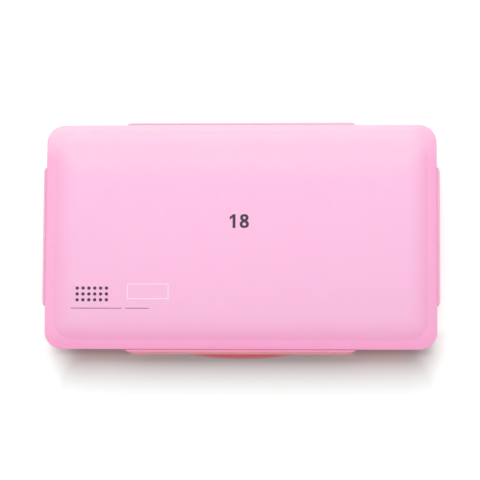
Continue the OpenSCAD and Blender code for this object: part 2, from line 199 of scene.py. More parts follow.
class TraySizes(bpy.types.PropertyGroup):
    corner_x: length("Corner, along", "Corner centre of the tray's wall", 160.0)
    corner_y: length("Corner, across", "Corner centre of the tray's wall", 83.8)
    corner_r: length("Corner radius", "Corner radius of the wall at the rim", 12.0)
    wall: length("Wall", "Wall of the tray", 1.6)
    lean: length("Lean", "How far the wall leans in down to its foot", 1.6)
    edge_r: length("Lower rounding", "Rounding along the bottom", 5.0)
    floor: length("Floor", "Top of the floor above the table", 2.4)
    foot: length("Foot", "Height of the ring that the tray stands on", 0.8)
    foot_w: length("Foot width", "Width of that ring", 3.0)
    rim: length("Rim height", "Top of the rim above the table", 34.7)
    rim_t: length("Rim thickness", "Thickness of the rim", 1.8)
    rim_r: length("Rim radius", "Corner radius of the rim about the lid's corners", 16.1)
    lip_t: length("Lip thickness", "Thickness of the lip below the rim", 1.6)
    lip_foot: length("Lip foot", "Foot of that lip above the table", 30.1)
    ledge_front: length("Ledge reach", "Front of the grip ledge, from the middle", 110.0)
    ledge_bow: length("Ledge bow", "Radius of the ledge's bow", 330.0)
    ledge_top: length("Ledge height", "Top of the ledge above the table", 5.6)
    ledge_t: length("Ledge thickness", "Thickness of the ledge", 2.2)
    ledge_fall: length("Ledge fall", "How far the ledge's top falls to its nose", 0.9)
    frame_h: length("Frame height", "Height of the frames round the cups' feet", 3.0)
    frame_t: length("Frame thickness", "Thickness of those frames", 1.0)
    play: length("Play", "Gap between a frame and the cup in it", 0.4)
    shade: colour("Coral", "Solid plastic of the tray", 254, 132, 142)
    warm: colour("Warm coral", "Paler plastic where it is thin", 255, 152, 156)


class CupSizes(bpy.types.PropertyGroup):
    pitch_x: length("Pitch, along", "Distance between two cups along the box", 56.13)
    pitch_y: length("Pitch, across", "Distance between two cups across the box", 61.46)
    corner_x: length("Corner, along", "Corner centre of a cup's wall", 18.56)
    corner_y: length("Corner, across", "Corner centre of a cup's wall", 21.23)
    corner_r: length("Corner radius", "Corner radius of a cup's wall", 7.0)
    wall: length("Wall", "Wall of a cup", 0.9)
    lean: length("Lean", "Lean of a cup's wall from rim to foot", 1.6)
    edge_r: length("Lower rounding", "Rounding round the bottom of a cup", 4.0)
    foot: length("Foot", "Underside of a cup above the table", 2.4)
    top: length("Top", "Rim of a cup above the table", 19.4)
    rim_w: length("Rim width", "Width of the rim round a cup", 1.9)
    rim_t: length("Rim thickness", "Thickness of that rim", 1.0)
    paint_top: length("Paint level", "Level of the paint above the table", 16.5)
    film_t: length("Film", "Thickness of a peel-off film", 0.2)
    clear: colour("Cup plastic", "Tint of the clear plastic", 238, 244, 248)
    film: colour("Film", "Tint of the peel-off film", 244, 246, 250)
    palette: colour("Palette", "White plastic of the palette", 246, 245, 242)


class PrintSizes(bpy.types.PropertyGroup):
    figure_height: length("Figure height", "Height of the two figures in the middle", 12.8)
    figure_x: coordinate("Figures, along", "Middle of the figures", -2.0)
    figure_y: coordinate("Figures, across", "Middle of the figures", 14.0)
    stroke: length("Stroke", "Stroke of the two figures", 2.6)
    dot: length("Dot", "Diameter of a dot in the grid", 3.0)
    dot_pitch: length("Dot pitch", "Distance between two dots", 5.4)
    dots_x: coordinate("Dots, along", "Middle of the dot at the back left", -150.0)
    dots_y: coordinate("Dots, across", "Middle of the dot at the back left", -48.0)
    rule: length("Rule", "Width of the two dark rules", 0.5)
    rules_x: coordinate("Rules, along", "Left end of the long rule", -156.0)
    rules_y: coordinate("Rules, across", "Middle line of the two rules", -66.5)
    long_rule: length("Long rule", "Length of the long rule", 47.0)
    rule_gap: length("Rule gap", "Gap between the two rules", 3.5)
    short_rule: length("Short rule", "Length of the short rule", 21.5)
    fine_rule: length("Fine rule", "Width of the panel's outline", 0.5)
    panel_x: coordinate("Panel, along", "Left side of the panel", -104.0)
    panel_y: coordinate("Panel, across", "Front side of the panel", -58.0)
    panel_w: length("Panel length", "Length of the panel along the box", 38.0)
    panel_h: length("Panel width", "Width of the panel across the box", 14.0)
    relief: length("Relief", "How far the ink stands above the plastic", 0.03)
    root: length("Root", "How far the ink reaches down into the plastic", 0.2)
    ink: colour("Ink", "Dark ink of the figures, dots and rules", 62, 34, 58)
    white: colour("White ink", "Ink of the panel's outline", 255, 236, 246)


class StudioSizes(bpy.types.PropertyGroup):
    floor_size: length("Floor", "Side of the square floor", 6000.0)
    key_power: power("Key light", "Power of the large lamp behind the box", 40.5)
    front_power: power("Front light", "Power of the low lamp in front of the box", 5.0)
    fill: number("Fill", "Strength of the even light all round", 0.48)
    lift: number("Floor lift", "White added to the floor for the camera, by the box", 0.01)
    lift_far: number("Far floor lift", "White added to the floor away from the box", 0.26)
    lift_rim: number("Outer floor lift", "White added to the floor about a metre away and beyond", 1.0)
    # painted shadow: darkens the floor's colour close under the lid's front
    painted_contact_shadow: number("Contact shade", "Darkening of the floor close under the lid's front", 0.35)
    paper: colour("Floor", "Colour of the floor", 226, 231, 230)


class PaintBoxSizes(bpy.types.PropertyGroup):
    lid: pointer(LidSizes, "Lid", "Domed lid")
    flap: pointer(FlapSizes, "Flaps", "Locking flaps")
    tray: pointer(TraySizes, "Tray", "Moulded tray")
    cup: pointer(CupSizes, "Cups", "Cups, films and palette")
    ink: pointer(PrintSizes, "Print", "Plain print")
    studio: pointer(StudioSizes, "Studio", "Floor, light and camera")


PAINTS = (
    ("titanium white", 244, 243, 238),
    ("lemon yellow", 250, 226, 40),
    ("orange yellow", 249, 168, 28),
    ("vermilion", 226, 62, 34),
    ("carmine", 178, 22, 48),
    ("rose", 232, 72, 128),
    ("lilac", 186, 140, 204),
    ("violet", 92, 46, 134),
    ("prussian blue", 20, 44, 92),
    ("ultramarine", 34, 56, 168),
    ("sky blue", 84, 172, 222),
    ("peacock green", 0, 128, 128),
    ("viridian", 0, 104, 72),
    ("grass green", 96, 158, 52),
    ("ochre", 204, 148, 58),
    ("burnt sienna", 138, 66, 34),
    ("cool grey", 128, 134, 140),
    ("black", 24, 24, 26),
)


# Finishes ----------------------------------------------------------------


def arithmetic(operation, reflected=False):
    """A method of Wire that adds one Math node."""

    def method(self, *others):
        values = (*others, self) if reflected else (self, *others)
        return self.nodes.node("Math", {"operation": operation}, dict(enumerate(values)))

    return method


class Wire:
    """A node socket in an expression: arithmetic on it adds Math nodes."""

    def __init__(self, nodes, socket):
        self.nodes = nodes
        self.socket = socket

    __add__ = __radd__ = arithmetic("ADD")
    __sub__ = arithmetic("SUBTRACT")
    __rsub__ = arithmetic("SUBTRACT", reflected=True)
    __mul__ = __rmul__ = arithmetic("MULTIPLY")
    __truediv__ = arithmetic("DIVIDE")
    __pow__ = arithmetic("POWER")
    __abs__ = arithmetic("ABSOLUTE")
    above = arithmetic("MAXIMUM")
    below = arithmetic("MINIMUM")

    def step(self, low, high):
        """0 below low and 1 above high, with a smooth rise between them."""
        settings = {"interpolation_type": "SMOOTHSTEP"}
        return self.nodes.node("MapRange", settings, {0: self, 1: low, 2: high})


class Nodes:
    """A node tree, and the one way in which nodes come into it."""

    def __init__(self, owner):
        owner.use_nodes = True
        self.tree = owner.node_tree

    def node(self, kind, settings, inputs, output=0):
        """Adds one node: its settings first, then the values or links of its sockets."""
        made = self.tree.nodes.new("ShaderNode" + kind)
        for key, value in settings.items():
            if key == "stops":
                self._stops(made.color_ramp, value)
            else:
                setattr(made, key, value)
        for key, value in inputs.items():
            if isinstance(value, Wire):
                self.tree.links.new(value.socket, made.inputs[key])
            else:
                made.inputs[key].default_value = value
        return Wire(self, made.outputs[output])

    @staticmethod
    def _stops(ramp, stops):
        while len(ramp.elements) < len(stops):
            ramp.elements.new(0.5)
        for element, (place, shade) in zip(ramp.elements, stops):
            element.position = place
            element.color = (*shade, 1)

    def rays(self, first, *others):
        """1 for rays of the kinds named, such as Camera, and 0 for all others."""
        outputs = self.node("LightPath", {}, {}).socket.node.outputs
        kinds = Wire(self, outputs[f"Is {first} Ray"])
        for other in others:
            kinds = kinds.above(Wire(self, outputs[f"Is {other} Ray"]))
        return kinds


class Finish(Nodes):
    """A material with one Principled shader, and the nodes that feed it."""

    def __init__(self, name, constants):
        self.material = bpy.data.materials.new(name)
        super().__init__(self.material)
        self.shader = self.tree.nodes["Principled BSDF"]
        for socket, value in constants.items():
            self.shader.inputs[socket].default_value = value
        self.place = self.node("TexCoord", {}, {}, "Object")

    def axes(self):
        """x, y and z of the place on the piece, in metres."""
        split = self.node("SeparateXYZ", {}, {0: self.place})
        outputs = split.socket.node.outputs
        return [Wire(self, outputs[i]) for i in range(3)]

    def noise(self, scale, detail=3.0, rough=0.5, stretch=None, twist=0.0):
        """Cloud noise from 0 to 1, with scale in features to a metre."""
        place = self.place
        if stretch:
            place = self.node("Mapping", {}, {"Vector": place, "Scale": stretch})
        inputs = {
            "Vector": place,
            "Scale": scale,
            "Detail": detail,
            "Roughness": rough,
            "Distortion": twist,
        }
        return self.node("TexNoise", {}, inputs)

    def mix(self, factor, first, second):
        """Colour between first and second."""
        first, second = [v if isinstance(v, Wire) else (*v, 1) for v in (first, second)]
        inputs = {0: factor, 6: first, 7: second}
        return self.node("Mix", {"data_type": "RGBA"}, inputs, 2)

    def ramp(self, place, stops):
        """Colour at a place from 0 to 1 between stops of (place, colour)."""
        return self.node("ValToRGB", {"stops": stops}, {0: place})

    def bump(self, height, strength, depth, below=None):
        """Normal of a relief whose height from 0 to 1 stands for a depth in millimetres."""
        inputs = {"Height": height, "Strength": strength, "Distance": depth * MM}
        if below:
            inputs["Normal"] = below
        return self.node("Bump", {}, inputs)

    def wear(self, **inputs):
        """Feeds the shader's sockets, given as Base_Color=... and so on."""
        for key, value in inputs.items():
            self.tree.links.new(value.socket, self.shader.inputs[key.replace("_", " ")])
        return self.material


def scaled(shade, factor):
    return tuple(min(1.0, v * factor) for v in shade)


def frosted(name, radius, scale):
    """Milky plastic, through which light spreads by scale times a radius for each colour."""
    return Finish(
        name,
        {
            "IOR": 1.46,
            "Specular IOR Level": 0.35,
            "Subsurface Weight": 0.5,
            "Subsurface Radius": radius,
            "Subsurface Scale": scale,
        },
    )


def from_front(f, sizes):
    """Place along the fade, from 0 at the front of the box to 1 at its back."""
    return (f.axes()[1] + sizes.fade) / (2 * sizes.fade)


def frosted_lid(sizes):
    """Frosted pink with painted light and shade: paler over the palette and at the back, darker at the
    front, on the right and along the edge.
    """
    f = frosted("frosted_pink_lid", (1.0, 0.45, 0.65), 0.004)
    x, y, z = f.axes()
    half_x, half_y = sizes.edge_x + sizes.edge_r, sizes.edge_y + sizes.edge_r
    pale, light, middle, shaded_pink = sizes.pale, sizes.light, sizes.middle, sizes.shaded_pink
    cloud = f.noise(22, 4.0, 0.55, twist=0.4)
    grain = f.noise(1700, 2.0, 0.6)
    # painted shade and light: along the fade the edge pink deepens towards the front and pales towards
    # the back
    depth = from_front(f, sizes) + (cloud - 0.5) * 0.03
    stops = [(0.0, shaded_pink), (0.1, scaled(middle, 0.98)), (0.84, middle), (1.0, light)]
    # painted shade: the right border is darkened towards the deeper pink
    right = x.step(half_x - 30 * MM, half_x - 2 * MM)
    edge = f.mix(right * 0.35, f.ramp(depth, stops), shaded_pink)
    # painted light and shade: paler where the white palette lies behind the plastic, deeper towards
    # the front and paler towards the back
    stops = [(0.1, scaled(pale, 0.93)), (0.3, scaled(pale, 0.965)), (0.75, pale), (1.0, light)]
    out = (abs(x) - sizes.palette_x).above(abs(y) - sizes.palette_y)
    behind = 1 - out.step(-4 * MM, 20 * MM)
    shade = f.mix(behind * (0.94 + cloud * 0.06), edge, f.ramp(depth, stops))
    brim = (abs(x) - half_x).above(abs(y) - half_y)
    top = sizes.edge_top
    # painted shade: a darker line along the top of the edge, patchy with the rubbed wear that also
    # roughens it
    rub_and_shade = f.noise(160, 3.0, 0.6).step(0.46, 0.72)
    rim = brim.step(-1.5 * MM, -0.2 * MM) * z.step(top - 1.1 * MM, top - 0.3 * MM)
    shade = f.mix(rim * (0.18 + rub_and_shade * 0.14), shade, scaled(shaded_pink, 0.9))
    # painted shade: the upright face of the edge is darkened towards the deeper pink
    side = brim.step(-0.5 * MM, -0.1 * MM) * (1 - z.step(top - 0.9 * MM, top - 0.1 * MM))
    return f.wear(
        Base_Color=f.mix(side * 0.4, shade, scaled(shaded_pink, 0.7)),
        Roughness=0.46 + cloud * 0.08 + grain * 0.06 + rim * rub_and_shade * 0.08,
        Normal=f.bump(grain, 0.18, 0.06, f.bump(cloud, 0.12, 0.25)),
    )


def shaded_shoulder_colour(f, sizes):
    """Colour of a flap's shoulder and hinge: painted shade deepens it towards the front and painted
    light pales it towards the back.
    """
    middle = sizes.middle
    stops = [(0.0, sizes.shade), (0.1, middle), (0.85, middle), (1.0, sizes.light)]
    return f.ramp(from_front(f, sizes), stops)


def frosted_flap(sizes):
    """The lid's plastic, with a painted glow of the coral tray behind it down its face and painted
    shade on the front flap's face.
    """
    f = frosted("frosted_pink_flap", (1.0, 0.45, 0.5), 0.003)
    cloud = f.noise(30, 4.0, 0.55, twist=0.4)
    grain = f.noise(1700, 2.0, 0.6)
    shoulder = shaded_shoulder_colour(f, sizes)
    # painted light and shade: the tray's glow on the faces, deeper on the shaded front flap
    face = f.ramp(from_front(f, sizes), [(0.03, sizes.low), (0.06, sizes.face)])
    high = f.axes()[2].step(sizes.top - 2.1 * MM, sizes.top + 0.1 * MM)
    shade = f.mix((high * 0.9 + cloud * 0.12).below(1), face, shoulder)
    flow = f.noise(60, 2.0, 0.5, stretch=(0.25, 0.25, 2.5))
    return f.wear(
        Base_Color=f.mix(flow.step(0.45, 0.75) * 0.1, shade, shoulder),
        Roughness=0.42 + cloud * 0.1 + grain * 0.08,
        Normal=f.bump(grain, 0.18, 0.06, f.bump(cloud, 0.2, 0.2)),
    )


def folded_web(sizes):
    """Thin plastic of a living hinge, with fine paler streaks, darkened by painted shade where it lies
    in its groove.
    """
    f = Finish("hinge_web", {"IOR": 1.46, "Specular IOR Level": 0.3})
    streak = f.noise(500, 3.0, 0.6, stretch=(1, 1, 0.2))
    shoulder = shaded_shoulder_colour(f, sizes)
    # painted shade: the hinge lies deep in a groove, so it is darker than the shoulder
    dark = f.mix(0.5, shoulder, scaled(sizes.middle, 0.6))
    return f.wear(
        Base_Color=f.mix(streak.step(0.4, 0.7) * 0.25, dark, shoulder),
        Roughness=0.42 + streak * 0.15,
        Normal=f.bump(streak, 0.3, 0.05),
    )


def moulded_tray(sizes):
    """Coral plastic, satin, with faint flow marks, fine grain and light scuffs."""
    f = Finish("coral_tray", {"IOR": 1.49, "Subsurface Weight": 0.05, "Subsurface Scale": 0.002})
    cloud = f.noise(20, 4.0, 0.55, twist=0.6)
    flow = f.noise(34, 3.0, 0.5, stretch=(0.35, 1.0, 1.0), twist=1.2)
    grain = f.noise(1500, 2.0, 0.6)
    shade = f.mix(cloud * 0.35 + flow.step(0.5, 0.8) * 0.2, sizes.shade, sizes.warm)
    scuff = f.noise(240, 4.0, 0.65, stretch=(1.0, 0.3, 1.0)).step(0.6, 0.75)
    return f.wear(
        Base_Color=f.mix(scuff * 0.12, shade, scaled(sizes.warm, 1.15)),
        Roughness=0.34 + cloud * 0.1 + grain * 0.06 + scuff * 0.12,
        Normal=f.bump(grain, 0.15, 0.05, f.bump(flow, 0.2, 0.2)),
    )


def clear_cup(sizes):
    """Clear thin-walled plastic with a faint haze."""
    f = Finish("clear_cup_plastic", {"IOR": 1.49, "Transmission Weight": 0.92})
    haze = f.noise(120, 4.0, 0.6)
    shade = f.mix(haze * 0.4, sizes.clear, scaled(sizes.clear, 0.96))
    return f.wear(Base_Color=shade, Roughness=0.06 + haze * 0.14, Normal=f.bump(haze, 0.08, 0.1))


def sealed_film(sizes):
    """Thin clear film, milky where it is sealed to the cups' rims."""
    f = Finish("peel_off_film", {"IOR": 1.45, "Coat Weight": 0.3})
    crease = f.noise(90, 3.0, 0.6, stretch=(1.0, 2.2, 1.0), twist=1.4)
    sealed = f.node("Attribute", {"attribute_name": "sealed"}, {}, "Fac")
    weave = f.node("TexChecker", {}, {"Vector": f.place, "Scale": 1400.0}, 1)
    return f.wear(
        Base_Color=f.mix(sealed * 0.6, sizes.film, scaled(sizes.film, 0.93)),
        Roughness=0.12 + crease * 0.10 + sealed * 0.22,
        Alpha=0.05 + crease.step(0.58, 0.8) * 0.07 + sealed * 0.32,
        Normal=f.bump(sealed * weave, 0.25, 0.05, f.bump(crease, 0.4, 0.5)),
    )


def wet_paint(name, shade):
    """Gouache: dense, soft gloss, with stirred streaks and fine pits."""
    f = Finish(name, {"IOR": 1.46, "Specular IOR Level": 0.3})
    streak = f.noise(70, 5.0, 0.6, stretch=(1.0, 1.7, 1.0), twist=2.4)
    cream = f.noise(420, 3.0, 0.55)
    light = tuple(min(1.0, v * 1.12 + 0.012) for v in shade)
    pit = f.noise(900, 2.0, 0.5).step(0.66, 0.74)
    return f.wear(
        Base_Color=f.mix(streak.step(0.3, 0.75), scaled(shade, 0.86), light),
        Roughness=0.34 + streak * 0.16 + pit * 0.1,
        Normal=f.bump(cream, 0.25, 0.3, f.bump(1 - pit, 0.3, 0.15)),
    )


def white_palette(sizes):
    """White glossy plastic with mould flow and light scratches from brushes."""
    f = Finish("white_palette", {"IOR": 1.5, "Subsurface Weight": 0.08, "Subsurface Scale": 0.003})
    cloud = f.noise(18, 4.0, 0.55, twist=0.5)
    scratch = f.noise(300, 3.0, 0.7, stretch=(0.15, 2.0, 1.0), twist=0.6).step(0.6, 0.68)
    shade = f.mix(cloud * 0.6 + scratch * 0.3, sizes.palette, scaled(sizes.palette, 0.93))
    return f.wear(
        Base_Color=shade,
        Roughness=0.20 + cloud * 0.12 + scratch * 0.2,
        Normal=f.bump(scratch, 0.1, 0.05, f.bump(cloud, 0.15, 0.3)),
    )


def printed_ink(name, shade):
    """Screen ink: a thin, dull coat with tiny pinholes."""
    f = Finish(name, {"IOR": 1.45})
    fleck = f.noise(2600, 3.0, 0.6)
    thin = f.noise(240, 3.0, 0.6)
    tone = f.mix(thin.step(0.3, 0.8) * 0.5, shade, scaled(shade, 1.35))
    return f.wear(Base_Color=tone, Roughness=0.48 + fleck * 0.2, Normal=f.bump(fleck, 0.2, 0.02))


def white_floor(sizes):
    """Matt white floor, with a painted shadow beside the front flap, close under the lid's edge.

    To the camera it also glows: by lift_far outside of the box's shadow, whose
    middle lies 4 mm to the right, and by lift_rim from half a metre out, so that
    it runs into the white backdrop.
    """
    f = Finish("white_floor", {"Roughness": 0.9, "Specular IOR Level": 0.0})
    paper = f.noise(300, 3.0, 0.6)
    shade = f.mix(paper * 0.3, sizes.paper, scaled(sizes.paper, 0.985))
    x, y, _ = f.axes()
    # painted shadow: the floor's colour darkened close under the lid's front edge, beside the front
    # flap
    under = y.step(-109.5 * MM, -102.2 * MM) * (1 - y.step(-90 * MM, -80 * MM))
    beside = abs(x).step(100 * MM, 107 * MM) * (1 - abs(x).step(168 * MM, 182 * MM))
    f.wear(Base_Color=f.mix(under * beside * sizes.painted_contact_shadow, shade, (0.0, 0.0, 0.0)))
    # painted light: the glow is held back in front of the box, so that the shadow there fades along a
    # set ramp, and it lights up the floor at the sides and back where the box's shadows fall
    ahead = ((-112 * MM - y) / (45 * MM)).above(0).below(1) ** 0.6
    sides = abs(x - 4 * MM).step(149 * MM, 194 * MM) * 1.4
    back = y.step(-98 * MM, -80 * MM) * 1.6
    far = ahead.above(sides).above(back)
    outer = (x * x + y * y).step(0.25, 1.5)
    lift = far * sizes.lift_far + outer * sizes.lift_rim + sizes.lift
    seen = f.rays("Camera", "Glossy", "Transmission")
    glow = f.node("Emission", {}, {"Color": (1, 1, 1, 1), "Strength": seen * lift})
    both = f.node("AddShader", {}, {0: Wire(f, f.shader.outputs[0]), 1: glow})
    f.tree.links.new(both.socket, f.tree.nodes["Material Output"].inputs["Surface"])
    return f.material


def backdrop(fill):
    """White to the camera and through clear plastic, and to the box an even light of fill."""
    world = bpy.data.worlds.new("studio")
    nodes = Nodes(world)
    sky = nodes.tree.nodes["Background"]
    sky.inputs["Color"].default_value = (1, 1, 1, 1)
    seen = nodes.rays("Camera", "Transmission")
    level = nodes.node("MapRange", {}, {"Value": seen, "To Min": fill, "To Max": 1})
    nodes.tree.links.new(level.socket, sky.inputs["Strength"])
    return world


# Surfaces ----------------------------------------------------------------


def contour_table(arc_steps, side_steps):
    """Corner signs and outward directions once round a rounded rectangle.

    Four quarter turns, and between them the four straight sides, on which the
    direction stands still and the sign runs evenly from corner to corner.
    """
    signs, turns = [], []
    corners = np.array([[1, 1], [-1, 1], [-1, -1], [1, -1]], float)
    along = np.linspace(0, 1, side_steps + 1)[1:-1, None]
    for quarter in range(4):
        angle = (quarter + np.linspace(0, 1, arc_steps + 1)) * math.pi / 2
        here, there = corners[quarter], corners[(quarter + 1) % 4]
        turn = np.stack([np.cos(angle), np.sin(angle)], 1)
        signs += [np.repeat(here[None], len(angle), 0), here + (there - here) * along]
        turns += [turn, np.repeat(turn[-1:], len(along), 0)]
    return np.concatenate(signs), np.concatenate(turns)


def carried(stations, arc_steps=20, side_steps=16):
    """Contours of stations (corner x, corner y, radius, height), in millimetres.

    A point is corner sign times corner centre plus radius times direction.
    """
    signs, turns = contour_table(arc_steps, side_steps)
    s = np.asarray(stations, float)[:, None, :]
    flat = signs * s[..., :2] + turns * s[..., 2:3]
    height = np.broadcast_to(s[..., 3:4], flat.shape[:-1] + (1,))
    return np.concatenate([flat, height], -1)


def softened(corners, radius, steps=4):
    """Stations along a line whose inner corners are rounded to circle arcs.

    Each arc is a rational curve of second degree through the points that lie
    radius times the tangent of half the turn before and behind the corner. A
    corner may give its own radius as a fifth number.
    """
    p = [np.array(c[:4], float) for c in corners]
    own = [c[4] if len(c) > 4 else radius for c in corners]
    made = [p[0][None]]
    t = np.linspace(0, 1, steps + 1)[:, None]
    for before, at, after, r in zip(p[:-2], p[1:-1], p[2:], own[1:-1]):
        flat = [np.array([q[0] + q[2], q[3]]) for q in (before, at, after)]
        back, ahead = flat[0] - flat[1], flat[2] - flat[1]
        runs = np.hypot(*back), np.hypot(*ahead)
        cosine = back @ ahead / (runs[0] * runs[1])
        turn = math.pi - math.acos(max(-1.0, min(1.0, cosine)))
        if turn < 0.02 or r == 0:
            made.append(at[None])
            continue
        cut = min(r * math.tan(turn / 2), 0.48 * min(runs))
        first = at + (before - at) * cut / runs[0]
        last = at + (after - at) * cut / runs[1]
        weight = math.cos(turn / 2)
        middle = 2 * weight * t * (1 - t)
        total = (1 - t) ** 2 + middle + t**2
        made.append(((1 - t) ** 2 * first + middle * at + t**2 * last) / total)
    return np.concatenate(made + [p[-1][None]])


def shell(rings, ring_wrap=False, at=(0, 0, 0)):
    """Points in metres and faces of a surface through rings of points.

    Each ring is closed. The first and last are closed by a fan about their mean,
    or joined to each other where ring_wrap is set.
    """
    rings = (np.asarray(rings, float) + np.array(at)) * MM
    rows, columns = rings.shape[:2]
    index = np.arange(rows * columns).reshape(rows, columns)
    if ring_wrap:
        index = np.concatenate([index, index[:1]])
    a, d = index[:-1], index[1:]
    b, c = np.roll(a, -1, 1), np.roll(d, -1, 1)
    quads = np.stack([a, b, c, d], -1).reshape(-1, 4)
    points = rings.reshape(-1, 3)
    if ring_wrap:
        return points, quads, np.zeros((0, 3), int)
    first, last = index[0], index[-1]
    poles = np.stack([rings[0].mean(0), rings[-1].mean(0)])
    n = len(points)
    fan_a = np.stack([np.full(columns, n), np.roll(first, -1), first], -1)
    fan_b = np.stack([np.full(columns, n + 1), last, np.roll(last, -1)], -1)
    return np.concatenate([points, poles]), quads, np.concatenate([fan_a, fan_b])


def joined(parts):
    """Several shells as one set of points and faces."""
    counts = np.cumsum([0] + [len(p[0]) for p in parts])
    points = np.concatenate([p[0] for p in parts])
    quads = np.concatenate([p[1] + n for p, n in zip(parts, counts)])
    fans = np.concatenate([p[2] + n for p, n in zip(parts, counts)])
    return points, quads, fans


def added(name, data):
    """A new object in the scene, at the origin."""
    made = bpy.data.objects.new(name, data)
    bpy.context.scene.collection.objects.link(made)
    return made


def piece(name, surface, material, sharp=38):
    """A mesh object from points, four-sided and three-sided faces."""
    points, quads, fans = surface
    mesh = bpy.data.meshes.new(name)
    mesh.from_pydata(points.tolist(), [], quads.tolist() + fans.tolist())
    mesh.validate()
    mesh.polygons.foreach_set("use_smooth", np.ones(len(mesh.polygons), bool))
    mesh.set_sharp_from_angle(angle=math.radians(sharp))
    mesh.materials.append(material)
    return added(name, mesh)


def millimetres(group):
    """The lengths of a property group as plain numbers of millimetres."""
    values = {p.identifier: getattr(group, p.identifier) for p in group.bl_rna.properties}
    return SimpleNamespace(**{n: v / MM for n, v in values.items() if isinstance(v, float)})


def around(side, points, lid):
    """Turns points (along, out from the lid's edge, height) to their side of the box."""
    x, y, z = np.moveaxis(np.asarray(points, float), -1, 0)
    half_x, half_y = lid.edge_x + lid.edge_r, lid.edge_y + lid.edge_r
    made = {
        "back": (x, half_y + y, z),
        "front": (-x, -half_y - y, z),
        "left": (-half_x - y, x, z),
        "right": (half_x + y, -x, z),
    }[side]
    return np.stack(made, -1)


def lid_rings(s):
    """Rings of the lid, from the hollow's middle out, round the edge and in over the top.

    The hollow and the crown are spheres and cylinders about the crown's corner
    rectangle: height is the centre's height plus the root of the radius squared
    less the distance from that rectangle squared. The crown's shoulder meets the
    edge in a cove, a short hollow arc about a centre above the edge. The top
    rises by dome to its middle, as one less the square of the place along, times
    one less the square of the place across.
    """
    hollow_r = s.shoulder_r - s.wall

    def hollow(points):
        reach = np.abs(points[..., :2]) - (s.crown_x, s.crown_y)
        away = np.hypot(*np.moveaxis(np.maximum(reach, 0), -1, 0))
        points[..., 2] = -s.shoulder_depth + np.sqrt(hollow_r**2 - away**2)
        return points

    # shares of the way out are closer together where the hollow is steeper
    rib = np.array([s.rib_x, s.rib_y, s.rib_in_r, 0])
    inward = np.array([0.03, 0.3, 0.55, 0.75, 0.86, 0.91, 0.94, 0.96, 0.98, 1.0])
    inside = hollow(carried(rib * inward[:, None]))
    top, foot, e = s.edge_top, s.edge_foot, s.edge_r
    # the cove touches the edge's top and the shoulder's circle
    cove_z = top + s.cove_r
    rise = cove_z + s.shoulder_depth
    cove_x = math.sqrt((s.shoulder_r + s.cove_r) ** 2 - rise**2)
    meet = math.atan2(rise, cove_x)
    rim = [
        (*rib[:3], s.rib_foot + 1.0),
        (*rib[:3], s.rib_foot),
        (*rib[:2], s.rib_out_r - 0.6, s.rib_foot),
        (*rib[:2], s.rib_out_r, s.rib_foot + 1.3),
        (*rib[:2], s.rib_out_r, foot),
        (s.edge_x, s.edge_y, e, foot),
        (s.edge_x, s.edge_y, e, top, s.edge_round),
        (s.crown_x, s.crown_y, cove_x + 0.2, top),
    ]
    edge = carried(softened(rim, 0.25, 5))
    a = np.linspace(1.5 * math.pi, math.pi + meet, 7)
    cove = np.stack([np.cos(a), np.sin(a)], 1) * s.cove_r + (cove_x, cove_z)
    b = np.linspace(meet, math.pi / 2 - CROWN_END, 26)[1:]
    crown = np.stack([np.cos(b), np.sin(b)], 1) * s.shoulder_r - (0, s.shoulder_depth)
    crown[:, 1] -= s.dome * np.sin((b - meet) / (b[-1] - meet) * math.pi / 2) ** 2
    slope = np.concatenate([cove, crown])
    centre = np.broadcast_to([s.crown_x, s.crown_y], (len(slope), 2))
    over = carried(np.concatenate([centre, slope], 1))
    last = np.array([s.crown_x, s.crown_y, slope[-1, 0], 0])
    share = np.array([0.985, 0.96, 0.92, 0.86, 0.78, 0.68, 0.56, 0.42, 0.28, 0.15, 0.05])
    plateau = carried(last * share[:, None])
    span = plateau[..., :2] / over[-1, :, :2].max(0)
    plateau[..., 2] = slope[-1, 1] + s.dome * np.prod(1 - span**2, -1)
    return np.concatenate([inside, edge, over, plateau])


def nib_shells(s):
    """Wedges on the rib's inner face: a triangle carried along the rib's straight sides."""
    root, low, high = 0.2, s.rib_foot, s.nib_top
    wedge = np.array([[root, high], [-s.nib_reach, high], [0, low], [root, low]])
    half = s.nib_length / 2
    along = np.array([-half, -half + 0.3, -half + 1, half - 1, half - 0.3, half])
    ease = np.array([0.25, 0.8, 1.0, 1.0, 0.8, 0.25])
    reach = wedge[:, 0] * np.where(wedge[:, 0] < 0, ease[:, None], 1)
    made = []
    for across, middle in [(0, x * s.rib_x / 2) for x in (-1, 0, 1)] + [(1, 0.0)]:
        out = reach + (s.rib_x if across else s.rib_y) + s.rib_in_r
        run = np.broadcast_to((middle + along)[:, None], out.shape)
        level = np.broadcast_to(wedge[:, 1], out.shape)
        for sign in (1, -1):
            flat = (out * sign, run * sign) if across else (run * -sign, out * sign)
            made.append(shell(np.stack([*flat, level], -1)[::-1]))
    return made


def flap_span(s, side):
    return s.long_length if side in ("front", "back") else s.short_length


